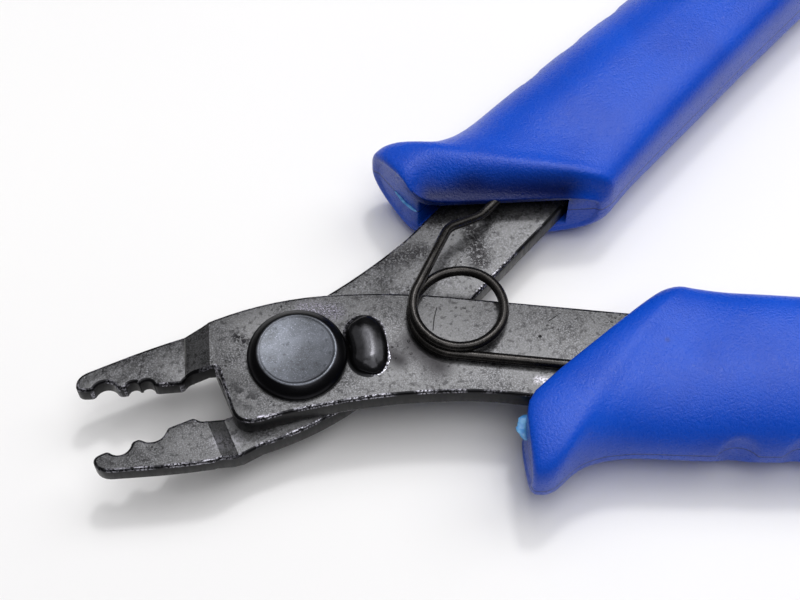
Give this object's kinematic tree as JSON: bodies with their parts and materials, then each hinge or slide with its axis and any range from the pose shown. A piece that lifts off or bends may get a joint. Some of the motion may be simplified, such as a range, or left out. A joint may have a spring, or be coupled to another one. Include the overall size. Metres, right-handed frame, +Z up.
{
  "type": "crimping plier",
  "caption": "Spring-opened crimping plier: crossed blackened levers with notched jaws, riveted pivot, wire torsion spring and blue moulded grips with flared guards.",
  "frame": {"origin": "centre of the base rectangle, on the surface the tool lies on", "axes": "+X from the jaws to the handles along the handles' centreline, +Y across the tool towards the rear lever's grip, +Z up along the pivot"},
  "size_m": [0.13, 0.0872, 0.0114],
  "materials": {
    "lever_steel": "black oxide, lightly worn",
    "rivet_steel": "black oxide, rubbed flat",
    "spring_steel": "oiled black wire",
    "grip_vinyl": "satin moulded vinyl"
  },
  "bodies": {
    "pivot": {"pivot_rivet": "rivet_steel", "return_spring": "spring_steel"},
    "front_lever": {"front_jaw_lever": "lever_steel", "front_lever_grip": "grip_vinyl"},
    "rear_lever": {"rear_jaw_lever": "lever_steel", "rear_lever_grip": "grip_vinyl"}
  },
  "joints": [
    {"name": "front_lever_hinge", "type": "hinge", "parent": "pivot", "child": "front_lever", "pos_m": [-0.04364, 0.00023, 0.00571], "axis": [0, 0, 1], "range_deg": [0, 9.5], "stiffness_Nm_per_rad": 0.8, "springref_deg": -6.88, "deforming": ["return_spring"]},
    {"name": "rear_lever_hinge", "type": "hinge", "parent": "pivot", "child": "rear_lever", "pos_m": [-0.04364, 0.00023, 0.00571], "axis": [0, 0, 1], "range_deg": [-9.5, 0], "stiffness_Nm_per_rad": 0.8, "springref_deg": 6.88, "deforming": ["return_spring"]}
  ],
  "couplings": [
    {"joint": "rear_lever_hinge", "follows": "front_lever_hinge", "ratio": -1}
  ]
}
